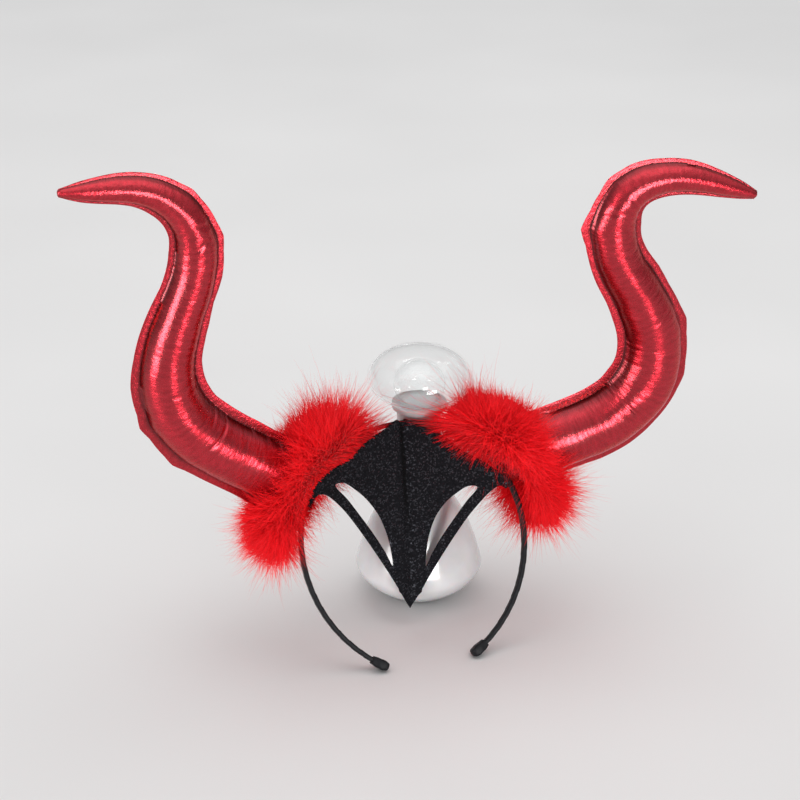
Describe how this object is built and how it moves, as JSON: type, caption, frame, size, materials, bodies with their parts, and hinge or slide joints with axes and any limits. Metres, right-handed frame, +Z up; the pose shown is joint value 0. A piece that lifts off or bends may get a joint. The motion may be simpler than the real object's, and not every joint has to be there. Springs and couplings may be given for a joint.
{
  "type": "horned headband on stand",
  "caption": "Open hoop headband with stuffed curved horns, fur trims and a pointed brow mask, leaning on a plain turned stand with a clear dome.",
  "frame": {"origin": "centre of the stand's foot, on the surface that the foot and the hoop's two ends stand on", "axes": "+Z up, -Y the front, +X to the right seen from the front and from horn to horn"},
  "size_m": [0.3858, 0.1254, 0.3059],
  "materials": {
    "satin_ribbon": "black satin ribbon, wound",
    "red_foil": "red metallic foil fabric, stuffed",
    "red_fur": "red marabou",
    "glitter_felt": "black felt with fine glitter",
    "white_gloss": "white, glossy",
    "clear_dome": "clear, polished"
  },
  "bodies": {
    "root": {"band_hoop": "satin_ribbon", "band_end_left": "satin_ribbon", "band_end_right": "satin_ribbon", "horn_left": "red_foil", "horn_right": "red_foil", "fur_trim_left": "red_fur", "fur_trim_right": "red_fur", "brow_mask": "glitter_felt", "stand_base": "white_gloss", "stand_dome": "clear_dome", "stand_inner_dome": "clear_dome"}
  },
  "joints": []
}
